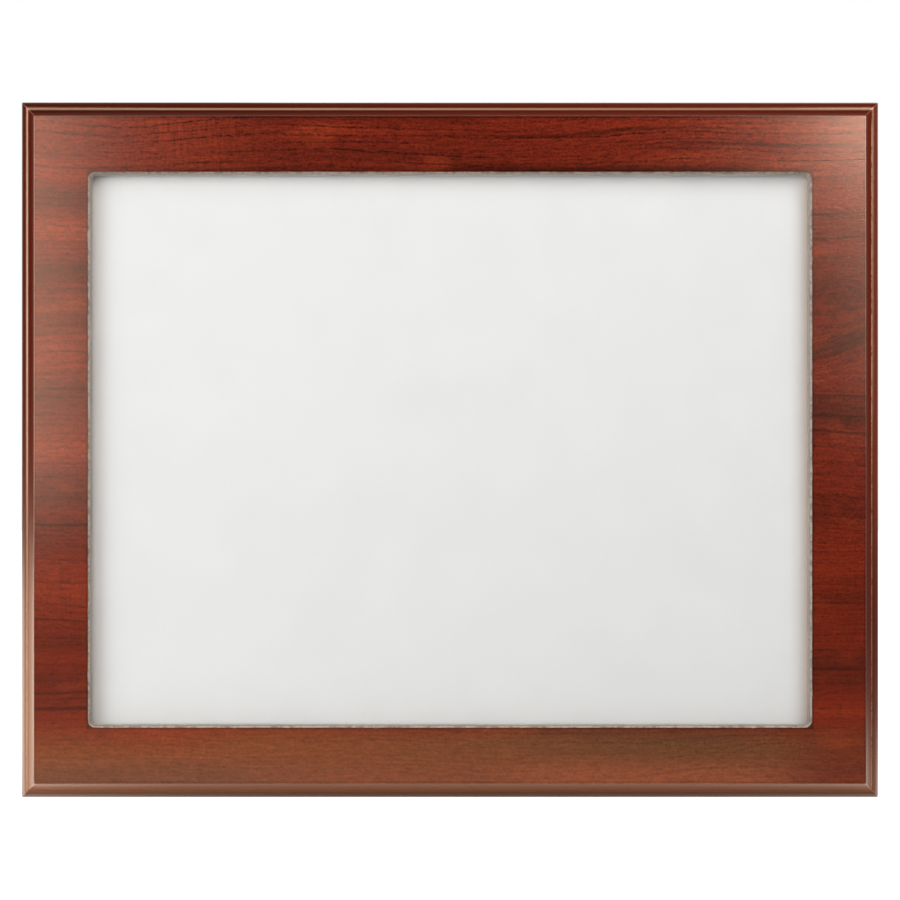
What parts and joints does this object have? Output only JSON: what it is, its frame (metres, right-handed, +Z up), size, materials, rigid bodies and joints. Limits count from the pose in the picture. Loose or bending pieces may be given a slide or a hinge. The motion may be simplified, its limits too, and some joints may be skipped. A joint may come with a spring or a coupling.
{
  "type": "plaque frame",
  "caption": "Wall-hung plaque frame: a routed board in woodgrain foil with a window over a clear pane and a white sheet, closed behind by a backing panel under turn buttons.",
  "frame": {"origin": "on the wall, where a nail meets the middle notch of the sawtooth hanger on the top rail", "axes": "+X to the right as seen from the front, +Y from the face into the wall, +Z up with the frame hung wide"},
  "size_m": [0.3286, 0.02, 0.2667],
  "materials": {
    "fibreboard": "raw, matt",
    "woodgrain_foil": "red-brown woodgrain print, satin",
    "clear_acrylic": "clear",
    "white_paper": "matt",
    "corrugated_card": "matt",
    "hardboard": "smooth, matt",
    "button_steel": "zinc plated",
    "screw_steel": "yellow zinc plated",
    "hanger_steel": "brass plated",
    "bumper_rubber": "matt"
  },
  "bodies": {
    "frame": {"frame_board": "fibreboard", "woodgrain_foil": "woodgrain_foil", "glazing_pane": "clear_acrylic", "insert_sheet": "white_paper", "filler_board": "corrugated_card", "backing_panel": "hardboard", "button_screw_top_left": "screw_steel", "button_screw_top_right": "screw_steel", "button_screw_bottom_left": "screw_steel", "button_screw_bottom_right": "screw_steel", "button_screw_left_upper": "screw_steel", "button_screw_left_lower": "screw_steel", "button_screw_right_upper": "screw_steel", "button_screw_right_lower": "screw_steel", "sawtooth_hanger_wide": "hanger_steel", "sawtooth_hanger_tall": "hanger_steel", "hanger_nail_wide_left": "hanger_steel", "hanger_nail_wide_right": "hanger_steel", "hanger_nail_tall_upper": "hanger_steel", "hanger_nail_tall_lower": "hanger_steel", "wall_bumper_top_left": "bumper_rubber", "wall_bumper_top_right": "bumper_rubber", "wall_bumper_bottom_left": "bumper_rubber", "wall_bumper_bottom_right": "bumper_rubber"},
    "button_top_left": {"turn_button_top_left": "button_steel"},
    "button_top_right": {"turn_button_top_right": "button_steel"},
    "button_bottom_left": {"turn_button_bottom_left": "button_steel"},
    "button_bottom_right": {"turn_button_bottom_right": "button_steel"},
    "button_left_upper": {"turn_button_left_upper": "button_steel"},
    "button_left_lower": {"turn_button_left_lower": "button_steel"},
    "button_right_upper": {"turn_button_right_upper": "button_steel"},
    "button_right_lower": {"turn_button_right_lower": "button_steel"}
  },
  "joints": [
    {"name": "turn_top_left", "type": "hinge", "parent": "frame", "child": "button_top_left", "pos_m": [-0.08, -0.0034, -0.00091], "axis": [0, 1, 0], "continuous": true},
    {"name": "turn_top_right", "type": "hinge", "parent": "frame", "child": "button_top_right", "pos_m": [0.08, -0.0034, -0.00091], "axis": [0, 1, 0], "continuous": true},
    {"name": "turn_bottom_left", "type": "hinge", "parent": "frame", "child": "button_bottom_left", "pos_m": [-0.08, -0.0034, -0.23517], "axis": [0, 1, 0], "continuous": true},
    {"name": "turn_bottom_right", "type": "hinge", "parent": "frame", "child": "button_bottom_right", "pos_m": [0.08, -0.0034, -0.23517], "axis": [0, 1, 0], "continuous": true},
    {"name": "turn_left_upper", "type": "hinge", "parent": "frame", "child": "button_left_upper", "pos_m": [-0.14888, -0.0034, -0.06304], "axis": [0, 1, 0], "continuous": true},
    {"name": "turn_left_lower", "type": "hinge", "parent": "frame", "child": "button_left_lower", "pos_m": [-0.14888, -0.0034, -0.17304], "axis": [0, 1, 0], "continuous": true},
    {"name": "turn_right_upper", "type": "hinge", "parent": "frame", "child": "button_right_upper", "pos_m": [0.14888, -0.0034, -0.06304], "axis": [0, 1, 0], "continuous": true},
    {"name": "turn_right_lower", "type": "hinge", "parent": "frame", "child": "button_right_lower", "pos_m": [0.14888, -0.0034, -0.17304], "axis": [0, 1, 0], "continuous": true}
  ]
}
